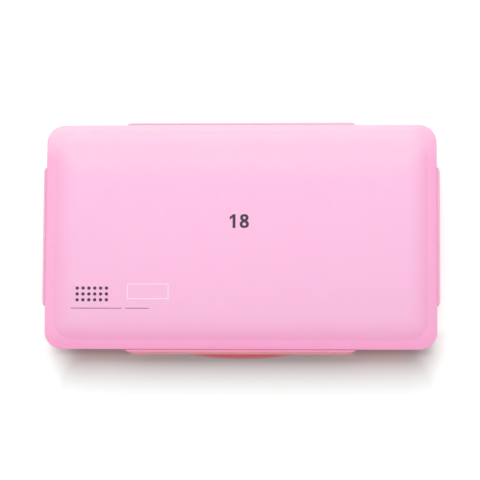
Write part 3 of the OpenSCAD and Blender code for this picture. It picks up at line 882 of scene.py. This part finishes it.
def flap_shell(s, side, lid):
    """A flap: its section carried along the hinge, thinned and shortened at the ends.

    The section runs up the outer face, over the shoulder and down the inner face
    with the catch ridge. Towards an end the face draws in over end_run along a
    smooth S, to 0.12 of its thickness, and the foot rises along a quarter circle
    of corner_r. The ridge starts 3 mm from an end and is whole 6 mm further in.
    The ends lean in towards the foot by 0.85 of end_run.
    """
    low, top, seat = s.foot, s.top, s.hinge - 0.02
    inner, outer = s.inner, s.inner + s.thickness
    foot = [(inner + 0.6, low, 0.8), (outer + s.flare, low, 0.9)]
    corners = [
        *foot,
        (outer, top, 0.9),
        (inner + 0.3, top, 0.3),
        (inner + 0.25, seat, 0.1),
        (inner, seat, 0.1),
        (inner, s.catch_tip + 2.0, 0.5),
        (inner - s.catch_reach, s.catch_tip, 0.3),
        (inner + 0.3, s.catch_tip - 2.2, 0.6),
        *foot,
    ]
    loop = softened([(0, 0, *corner) for corner in corners], 0.4, 5)[1:-7, 2:]
    out, high = loop[:, 0], loop[:, 1]
    half, run = flap_span(s, side) / 2, s.end_run
    grow = np.linspace(0, 1, 15)
    end = half - run * (1 - np.sin(grow * math.pi / 2))
    ramp = half - 2.2 * run + 1.2 * run * grow[:-1]
    x = np.concatenate([np.linspace(0, half - 2.2 * run, 16)[:-1], ramp, end])
    x = np.concatenate([-x[:0:-1], x])[:, None]
    near = half - np.abs(x)
    swell = np.clip(near / run, 0, 1)
    swell = swell * swell * (3 - 2 * swell)
    neck = inner + 0.25
    across = np.where(out > inner + 0.3, neck + (out - neck) * (0.12 + 0.88 * swell), out)
    ridge = np.clip((near - 3) / 6, 0, 1)
    across = np.where(out < inner, inner + (out - inner) * ridge, across)
    bend = np.clip(1 - near / s.corner_r, 0, 1)
    lift = s.corner_r * (1 - np.sqrt(1 - bend**2))
    share = np.clip((s.hinge - high) / (s.hinge - low), 0, 1)
    along = x * (1 - 0.85 * run / half * share)
    return shell(around(side, np.stack([along, across, high + share * lift], -1), lid))


def web_shell(s, side, lid):
    """A hinge strip: a thin flat loop carried along the hinge, waisted at the hinge line.

    Its thickness falls by 0.35 of itself times the bell curve of the distance
    from that line.
    """
    half = flap_span(s, side) / 2 - 0.5
    x = np.linspace(-half + 2, half - 2, 30)
    x = np.concatenate([[-half, -half + 0.2], x, [half - 0.2, half]])
    out = np.linspace(-0.25, s.inner + 0.3, 9)
    slim = s.web * 0.35 / 2 * np.exp(-(((out - s.line) / 0.22) ** 2))
    lower = np.stack([out, s.hinge - s.web + slim], 1)
    upper = np.stack([out, s.hinge - slim], 1)
    loop = np.concatenate([lower, upper[::-1]])
    rings = np.zeros((len(x), len(loop), 3))
    rings[..., 0] = x[:, None]
    rings[..., 1:] = loop
    return shell(around(side, rings, lid))


def tray_rings(s, lid):
    """Rings of the tray: underside, foot ring, leaning wall, rim and lip, and the inside."""
    cx, cy, r = s.corner_x, s.corner_y, s.corner_r
    low_r = r - s.lean
    foot_r = low_r - s.edge_r
    fx, fy = cx - s.foot_w, cy - s.foot_w
    rim, wall = s.rim, s.wall
    under = rim - s.rim_t
    up = (under - s.foot - s.edge_r) / (rim - s.foot - s.edge_r)
    ex, ey, er = lid.edge_x, lid.edge_y, s.rim_r
    path = [
        (fx * 0.1, fy * 0.1, foot_r * 0.1, s.foot),
        (fx, fy, foot_r, s.foot, 0.3),
        (fx, fy, foot_r, 0, 0.3),
        (fx, fy, foot_r + s.foot_w, 0, 0.4),
        (cx, cy, foot_r + 0.05, s.foot, 0.2),
        (cx, cy, low_r, s.foot, s.edge_r),
        (cx, cy, low_r + s.lean * up, under, 0.5),
        (ex, ey, er - s.lip_t, under, 0.5),
        (ex, ey, er - s.lip_t, s.lip_foot, 0.4),
        (ex, ey, er, s.lip_foot, 0.4),
        (ex, ey, er, rim, 0.5),
        (cx, cy, r - wall, rim, 0.5),
        (cx, cy, low_r - wall, s.floor, s.edge_r - wall),
        (cx * 0.1, cy * 0.1, 0.5, s.floor),
    ]
    return carried(softened(path, 0.4, 6))


def pocket_shells(s, cup):
    """Low frames round the feet of the cups: a small section carried round each foot.

    The section is upright, with both upper corners cut off.
    """
    r = cup.corner_r - cup.lean + s.play
    c = (cup.corner_x, cup.corner_y)
    z0, z1, cut = s.floor - 0.2, s.floor + s.frame_h, 0.25
    path = [
        (*c, r + s.frame_t, z0),
        (*c, r + s.frame_t, z1 - cut),
        (*c, r + s.frame_t - cut, z1),
        (*c, r + cut, z1),
        (*c, r, z1 - cut),
        (*c, r, z0),
    ]
    rings = carried(path, 6, 2)
    return [shell(rings, True, (*middle, 0)) for middle in cup_places(cup)]


def half_ledge(s, reach):
    """Half length of the ledge: the root of twice the bow times reach, less reach squared."""
    return math.sqrt(2 * s.ledge_bow * reach - reach * reach)


def ledge_shell(s):
    """The grip ledge: a section with a round nose, from the wall to a circle of ledge_bow.

    Its top falls by ledge_fall times the square of the place from wall to nose.
    """
    bow, t, top = s.ledge_bow, s.ledge_t, s.ledge_top
    wall = s.corner_y + s.corner_r - s.lean - WALL_ROOT
    reach = s.ledge_front - wall
    a = np.linspace(-math.pi / 2, math.pi / 2, 81)[:, None]
    x = half_ledge(s, reach) * np.sin(a)
    depth = np.maximum(reach - bow + np.sqrt(bow * bow - x * x), 0.02)
    nose = t / 2 * np.minimum(1, depth / t)
    a = np.linspace(-math.pi / 2, math.pi / 2, 9)
    root = np.full((len(x), 1), wall)
    loop_y = np.concatenate([root, wall + depth - nose + nose * np.cos(a), root], 1)
    loop_z = np.concatenate([[top - t], top - t / 2 + np.sin(a) * t / 2, [top]])
    dip = s.ledge_fall * np.clip((loop_y - wall) / reach, 0, 1) ** 2
    z = loop_z - dip * (loop_z > top - t / 2)
    return shell(np.stack([np.broadcast_to(x, z.shape), -loop_y, z], -1)[::-1])


def gusset_shells(s, count=5, thick=1.2):
    """Thin gussets under the ledge: a triangle, full below, carried through their thickness.

    Its lower side rises from wall to nose as the place along it to the power 1.6.
    """
    wall = s.corner_y + s.corner_r - s.lean
    root = wall - WALL_ROOT
    top = s.ledge_top - s.ledge_t + 0.1
    low = s.foot + s.edge_r / 2 - 0.6
    a = np.linspace(0, 1, 7)
    inset = np.array([0.12, 0, 0, 0.12])[:, None]
    made = []
    for middle in np.linspace(-0.5, 0.5, count) * half_ledge(s, s.ledge_front - wall):
        fall = s.ledge_bow - math.sqrt(s.ledge_bow**2 - middle**2)
        edge = s.ledge_front - fall - 2 * s.ledge_t
        under = np.stack([root + (edge - root) * a, low + (top - low - 0.3) * a**1.6], 1)
        loop = np.concatenate([under, [[edge, top + 0.2], [root, top + 0.2]]])
        rings = np.zeros((4, len(loop), 3))
        rings[..., 0] = middle + thick * np.array([-0.5, -0.38, 0.38, 0.5])[:, None]
        rings[..., 1] = -loop[:, 0]
        rings[..., 2] = loop[:, 1] + inset * (np.arange(len(loop)) < len(a))
        made.append(shell(rings[::-1]))
    return made


def cup_places(s):
    """Middle of each cup, row by row from the back left."""
    return [
        ((column - (COLUMNS - 1) / 2) * s.pitch_x, ((ROWS - 1) / 2 - row) * s.pitch_y)
        for row in range(ROWS)
        for column in range(COLUMNS)
    ]


def cup_shell(s, place):
    """A cup: underside with a shallow dimple, leaning wall, rolled rim and the inside."""
    c = (s.corner_x, s.corner_y)
    r, wall = s.corner_r, s.wall
    low = r - s.lean
    z0, z1 = s.foot, s.top
    small = (c[0] * 0.05, c[1] * 0.05, 0.3)
    path = [
        (*small, z0 + 0.25),
        (c[0] * 0.86, c[1] * 0.86, 3.0, z0 + 0.25, 1.0),
        (*c, low - s.edge_r + 1.0, z0, 1.0),
        (*c, low, z0, s.edge_r),
        (*c, r - 0.06, z1 - s.rim_t, 0.3),
        (*c, r + s.rim_w, z1 - s.rim_t, 0.35),
        (*c, r + s.rim_w, z1, 0.35),
        (*c, r - wall, z1, 0.4),
        (*c, low - wall, z0 + wall, s.edge_r - wall),
        (*small, z0 + wall),
    ]
    return shell(carried(softened(path, 0.4, 4), 8, 6), at=(*place, 0))


def paint_shell(s, place, turn):
    """Paint in a cup: the cup's inside, topped by a creamy swirl that dies out at the wall.

    The swirl's height is the cosine of distance from the middle less twice the
    angle round it, and a smaller wave of the cosines of x and y, both times a
    calm that is nothing at the wall and in the middle.
    """
    c = (s.corner_x, s.corner_y)
    bottom = s.foot + s.wall
    edge_r = s.edge_r - s.wall
    rise = (s.paint_top - bottom - edge_r) / (s.top - bottom - edge_r)
    low = s.corner_r - s.wall - s.lean
    high = low + s.lean * rise - 0.05
    path = [
        (c[0] * 0.05, c[1] * 0.05, 0.2, bottom + 0.02),
        (*c, low - 0.05, bottom + 0.02, edge_r),
        (*c, high, s.paint_top + 0.25),
    ]
    sides = carried(softened(path, 0.4, 4), 8, 12)
    share = np.array([0.985, 0.95, 0.9, 0.84, 0.77, 0.69, 0.6, 0.5, 0.4, 0.3, 0.2, 0.11, 0.04])
    top = carried(np.array([*c, high, 0]) * share[:, None], 8, 12)
    x, y = top[..., 0], top[..., 1]
    away, angle = np.hypot(x, y), np.arctan2(y, x)
    calm = (1 - share[:, None] ** 3) * np.clip(away / 5, 0, 1)
    swirl = 0.42 * np.cos(away * 0.42 - 2 * angle + turn) * calm
    swirl += 0.16 * np.cos(x * 0.31 + turn * 3) * np.cos(y * 0.27 - turn) * calm
    top[..., 2] = s.paint_top + 0.25 * share[:, None] ** 30 + swirl
    return shell(np.concatenate([sides, top]), at=(*place, 0))


def film_shell(s, place, turn):
    """A film on one cup: flat where it is sealed to the rim, and slack in the middle.

    It sags by one less the square of the place from middle to rim, times a
    slack that waves with the cosines of x and y.
    """
    c, r = (s.corner_x, s.corner_y), s.corner_r + s.rim_w - 0.05
    share = np.array([0.05, 0.2, 0.36, 0.5, 0.62, 0.72, 0.8, 0.86, 0.9, 0.925])
    inner = np.array([*c, r, 0]) * share[:, None]
    flat = np.array([[*c, r - 1.6, 0], [*c, r - 0.8, 0], [*c, r, 0]])
    lower = carried(np.concatenate([inner, flat]), 8, 8)
    sag = np.concatenate([1 - (share / share[-1]) ** 2, np.zeros(3)])[:, None]
    x, y = lower[..., 0], lower[..., 1]
    slack = 0.34 + 0.1 * np.cos(x * 0.33 + turn) * np.cos(y * 0.29 - 2 * turn)
    lower[..., 2] = s.top + 0.005 - sag * slack
    upper = lower[::-1] + (0, 0, s.film_t - 0.01)
    return shell(np.concatenate([lower, upper]), at=(*place, 0))


def seal(s, points, place):
    """1 on a film's border and 0 inside it, by the distance out from the cup's corners."""
    reach = np.abs(points[:, :2] / MM - place) - (s.corner_x, s.corner_y)
    away = np.hypot(*np.maximum(reach, 0).T) + np.minimum(reach.max(1), 0)
    return np.clip((away - s.corner_r + 1.4) / 0.6, 0, 1)


def prism(loops):
    """A flat solid between an outline, anticlockwise, and its holes, clockwise.

    Its height runs from -1 to 1, and is set to its place on the lid afterwards.
    """
    flat = np.concatenate(loops)
    n = len(flat)
    cut = np.array(tessellate_polygon([[(x, y, 0.0) for x, y in loop] for loop in loops]))
    a, b, c = (flat[cut[:, i]] for i in range(3))
    ab, ac = b - a, c - a
    clockwise = ab[:, 0] * ac[:, 1] < ab[:, 1] * ac[:, 0]
    cut[clockwise] = cut[clockwise][:, ::-1]
    starts = np.cumsum([0] + [len(loop) for loop in loops])
    here = np.arange(n)
    ahead = np.concatenate([np.roll(here[i:j], -1) for i, j in zip(starts[:-1], starts[1:])])
    walls = np.stack([here + n, ahead + n, ahead, here], 1)
    level = np.repeat([1.0, -1.0], n)[:, None]
    points = np.concatenate([np.concatenate([flat, flat]), level], 1)
    return points, walls, np.concatenate([cut, cut[:, ::-1] + n])


def ring(width, height, steps, middle=0.0, clockwise=False):
    """A rounded loop: cosine and sine raised to 0.86, which squares the oval a little."""
    a = np.arange(steps) / steps * 2 * math.pi
    turn = np.stack([np.cos(a), np.sin(a)], 1)
    loop = np.sign(turn) * np.abs(turn) ** 0.86 * (width, height) / 2
    return (loop[::-1] if clockwise else loop) + (0, middle)


def rectangle(x0, x1, y0, y1):
    return np.array([(x0, y0), (x1, y0), (x1, y1), (x0, y1)], float)


def figure_one(height, stroke):
    """A 1: an upright stroke with a slanting flag at its top."""
    h, w = height, stroke
    flag = [(0.2 * w, h), (-1.05 * w, 0.80 * h), (-1.05 * w, 0.60 * h), (0, 0.76 * h)]
    return prism([np.array([(0, 0), (w, 0), (w, h), *flag])])


def figure_eight(height, stroke):
    """An 8: two oval lobes, run together, with a hole in each that leaves the stroke.

    Its half width is the sixth root of the sum of the lobes' half widths, each
    to the sixth. A lobe's half width and height, as shares of its largest, each
    to the power 2.3, add up to one.
    """
    low, high = 0.545 * height, 0.50 * height
    wide, narrow = 0.66 * height, 0.60 * height
    rise = (1 - np.cos(np.linspace(0, math.pi, 49))) / 2 * height

    def lobe(middle, tall, across):
        oval = 1 - np.abs((rise - middle) / (tall / 2)) ** 2.3
        return np.clip(oval, 0, 1) ** (1 / 2.3) * across / 2

    below, above = lobe(low / 2, low, wide), lobe(height - high / 2, high, narrow)
    right = np.stack([(below**6 + above**6) ** (1 / 6), rise], 1)
    outline = np.concatenate([right, (right * (-1, 1))[-2:0:-1]])
    w = stroke * 0.86
    lower = ring(wide - 2 * stroke, low - 1.75 * w, 28, low / 2 + 0.05 * w, True)
    upper = ring(narrow - 2 * stroke, high - 1.75 * w, 28, height - high / 2 - 0.05 * w, True)
    return prism([outline, lower, upper])


def moved(surface, x, y):
    points, quads, fans = surface
    return points + (x, y, 0), quads, fans


def top_height(x, y, lid):
    """Height of the lid's top over a place inside the shoulder, as lid_rings gives it."""
    border = -lid.shoulder_depth + lid.shoulder_r * math.cos(CROWN_END) - lid.dome
    edge = lid.shoulder_r * math.sin(CROWN_END)
    span = (x / (lid.crown_x + edge)) ** 2, (y / (lid.crown_y + edge)) ** 2
    return border + lid.dome * (1 - span[0]) * (1 - span[1])


def lamp(name, place, power, width, height):
    """A rectangular lamp, tilted and turned to face the middle of the box."""
    light = bpy.data.lights.new(name, "AREA")
    light.shape = "RECTANGLE"
    light.size, light.size_y, light.energy = width, height, power
    made = added(name, light)
    x, y, z = place
    made.location = place
    made.rotation_euler = math.atan2(math.hypot(x, y), z), 0, math.atan2(-y, -x) - math.pi / 2


# Operators ---------------------------------------------------------------


def settings():
    return bpy.context.scene.paint_box


class PAINTBOX_OT_lid(bpy.types.Operator):
    """Makes the domed lid with its rib and nibs"""

    bl_idname = "paint_box.lid"
    bl_label = "Lid"

    def execute(self, context):
        group = settings().lid
        s = millimetres(group)
        made = piece("lid_shell", shell(lid_rings(s)), frosted_lid(group))
        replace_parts(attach(made, "lid"), "lid")
        nibs = piece("palette_nibs", joined(nib_shells(s)), made.data.materials[0])
        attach(nibs, "lid")
        return {"FINISHED"}


class PAINTBOX_OT_flaps(bpy.types.Operator):
    """Makes the four locking flaps"""

    bl_idname = "paint_box.flaps"
    bl_label = "Flaps"

    def execute(self, context):
        group, lid = settings().flap, millimetres(settings().lid)
        s = millimetres(group)
        finish = frosted_flap(group)
        for side in SIDES:
            made = piece(side + "_flap_shell", flap_shell(s, side, lid), finish)
            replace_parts(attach(made, side + "_flap"), side + "_flap")
        return {"FINISHED"}


class PAINTBOX_OT_hinges(bpy.types.Operator):
    """Makes the thin webs that join each flap to the lid"""

    bl_idname = "paint_box.hinges"
    bl_label = "Living hinges"

    def execute(self, context):
        group, lid = settings().flap, millimetres(settings().lid)
        s = millimetres(group)
        finish = folded_web(group)
        for side in SIDES:
            made = piece(side + "_hinge_web", web_shell(s, side, lid), finish)
            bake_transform(made)
        return {"FINISHED"}


class PAINTBOX_OT_tray(bpy.types.Operator):
    """Makes the tray with its rim, lip, grip ledge and cup frames"""

    bl_idname = "paint_box.tray"
    bl_label = "Tray"

    def execute(self, context):
        group = settings().tray
        s, lid, cup = millimetres(group), millimetres(settings().lid), millimetres(settings().cup)
        finish = moulded_tray(group)
        made = piece("tray_shell", shell(tray_rings(s, lid)), finish)
        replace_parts(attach(made, "tray"), "base_tray")
        for name, surface in (
            ("tray_grip_ledge", ledge_shell(s)),
            ("tray_gussets", joined(gusset_shells(s))),
            ("tray_cup_frames", joined(pocket_shells(s, cup))),
        ):
            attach(piece(name, surface, finish), "tray")
        return {"FINISHED"}


class PAINTBOX_OT_cups(bpy.types.Operator):
    """Makes the cups and the paint in them"""

    bl_idname = "paint_box.cups"
    bl_label = "Cups and paint"

    def execute(self, context):
        group = settings().cup
        s = millimetres(group)
        finish = clear_cup(group)
        for i, place in enumerate(cup_places(s)):
            number_text = f"{i + 1:02d}"
            made = piece("cup_shell_" + number_text, cup_shell(s, place), finish)
            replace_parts(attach(made, "tray"), "cup_" + number_text)
            name, *shade = PAINTS[i]
            paint = wet_paint(name.replace(" ", "_") + "_gouache", srgb(*shade))
            made = piece("paint_fill_" + number_text, paint_shell(s, place, 1.7 * i), paint)
            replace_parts(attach(made, "tray"), "paint_" + number_text)
        return {"FINISHED"}


class PAINTBOX_OT_films(bpy.types.Operator):
    """Makes the peel-off films, six to a row"""

    bl_idname = "paint_box.films"
    bl_label = "Films"

    def execute(self, context):
        group = settings().cup
        s = millimetres(group)
        finish, places = sealed_film(group), cup_places(s)
        for row in range(ROWS):
            here = range(COLUMNS * row, COLUMNS * (row + 1))
            parts = [film_shell(s, places[i], i) for i in here]
            made = piece(f"film_row_{row + 1}", joined(parts), finish, sharp=80)
            sealed = [seal(s, part[0], places[i]) for part, i in zip(parts, here)]
            attribute = made.data.attributes.new("sealed", "FLOAT", "POINT")
            attribute.data.foreach_set("value", np.concatenate(sealed).astype(np.float32))
            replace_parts(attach(made, "tray"), f"films_row_{row + 1}")
        return {"FINISHED"}


class PAINTBOX_OT_palette(bpy.types.Operator):
    """Gives the mixing palette its finish"""

    bl_idname = "paint_box.palette"
    bl_label = "Palette"

    def execute(self, context):
        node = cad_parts["palette"]
        node.data.materials.clear()
        node.data.materials.append(white_palette(settings().cup))
        return {"FINISHED"}


class PAINTBOX_OT_print(bpy.types.Operator):
    """Prints the number of cups, a grid of dots, two rules and a panel's outline"""

    bl_idname = "paint_box.print"
    bl_label = "Print"

    def execute(self, context):
        group, lid = settings().ink, millimetres(settings().lid)
        s = millimetres(group)
        dark, white = printed_ink("dark_ink", group.ink), printed_ink("white_ink", group.white)

        def printed(name, parts, ink):
            points, quads, fans = joined(parts)
            high = top_height(points[:, 0], points[:, 1], lid)
            points[:, 2] = high + np.where(points[:, 2] > 0, s.relief, -s.root)
            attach(piece(name, (points * MM, quads, fans), ink, sharp=20), "lid")

        x, y, height = s.figure_x, s.figure_y - s.figure_height / 2, s.figure_height
        one = moved(figure_one(height, s.stroke), x - 0.42 * height, y)
        eight = moved(figure_eight(height, s.stroke), x + 0.42 * height, y)
        printed("printed_figures", [one, eight], dark)
        dot, pitch = prism([ring(s.dot, s.dot, 24)]), s.dot_pitch
        grid = [(s.dots_x + pitch * i, s.dots_y - pitch * j) for i in range(6) for j in range(3)]
        printed("printed_dots", [moved(dot, *place) for place in grid], dark)
        low, high = s.rules_y - s.rule / 2, s.rules_y + s.rule / 2
        end = s.rules_x + s.long_rule
        start = end + s.rule_gap
        spans = [(s.rules_x, end), (start, start + s.short_rule)]
        printed("printed_rules", [prism([rectangle(*span, low, high)]) for span in spans], dark)
        t = s.fine_rule
        x0, x1, y0, y1 = s.panel_x, s.panel_x + s.panel_w, s.panel_y, s.panel_y + s.panel_h
        inside = rectangle(x0 + t, x1 - t, y0 + t, y1 - t)[::-1]
        printed("printed_panel", [prism([rectangle(x0, x1, y0, y1), inside])], white)
        return {"FINISHED"}


class PAINTBOX_OT_studio(bpy.types.Operator):
    """Sets the floor, the light and the camera"""

    bl_idname = "paint_box.studio"
    bl_label = "Studio"

    def execute(self, context):
        group, scene = settings().studio, context.scene
        h = group.floor_size / 2
        mesh = bpy.data.meshes.new("floor")
        mesh.from_pydata([(-h, -h, 0), (h, -h, 0), (h, h, 0), (-h, h, 0)], [], [(0, 1, 2, 3)])
        mesh.materials.append(white_floor(group))
        made = added("floor", mesh)
        scene.world = backdrop(group.fill)
        lamp("key", KEY_PLACE, group.key_power, *KEY_SIZE)
        lamp("front", FRONT_PLACE, group.front_power, *FRONT_SIZE)
        camera = bpy.data.cameras.new("camera")
        camera.lens, camera.sensor_width = CAMERA_LENS, CAMERA_SENSOR
        scene.camera = added("camera", camera)
        scene.camera.location = CAMERA_PLACE
        scene.camera.rotation_euler = [math.radians(v) for v in CAMERA_TURN]
        scene.view_settings.view_transform = "Standard"
        return {"FINISHED"}


class PAINTBOX_PT_panel(bpy.types.Panel):
    """Lists the sizes, colours and makers of the paint box"""

    bl_idname = "PAINTBOX_PT_panel"
    bl_label = "Paint Box"
    bl_space_type = "VIEW_3D"
    bl_region_type = "UI"
    bl_category = "Paint Box"

    def draw(self, context):
        for maker in MAKERS:
            self.layout.operator(maker.bl_idname)
        for name in PaintBoxSizes.__annotations__:
            group = getattr(context.scene.paint_box, name)
            box = self.layout.box()
            box.label(text=name.capitalize())
            for key in type(group).__annotations__:
                box.prop(group, key)


GROUPS = (LidSizes, FlapSizes, TraySizes, CupSizes, PrintSizes, StudioSizes, PaintBoxSizes)
MAKERS = (
    PAINTBOX_OT_lid,
    PAINTBOX_OT_flaps,
    PAINTBOX_OT_hinges,
    PAINTBOX_OT_tray,
    PAINTBOX_OT_cups,
    PAINTBOX_OT_films,
    PAINTBOX_OT_palette,
    PAINTBOX_OT_print,
    PAINTBOX_OT_studio,
)


def register():
    for item in (*GROUPS, *MAKERS, PAINTBOX_PT_panel):
        bpy.utils.register_class(item)
    bpy.types.Scene.paint_box = bpy.props.PointerProperty(
        type=PaintBoxSizes, name="Paint box", description="Sizes and colours"
    )


def unregister():
    del bpy.types.Scene.paint_box
    for item in reversed((*GROUPS, *MAKERS, PAINTBOX_PT_panel)):
        bpy.utils.unregister_class(item)


def main():
    register()
    for maker in MAKERS:
        group, name = maker.bl_idname.split(".")
        getattr(getattr(bpy.ops, group), name)()


if __name__ == "__main__":
    main()
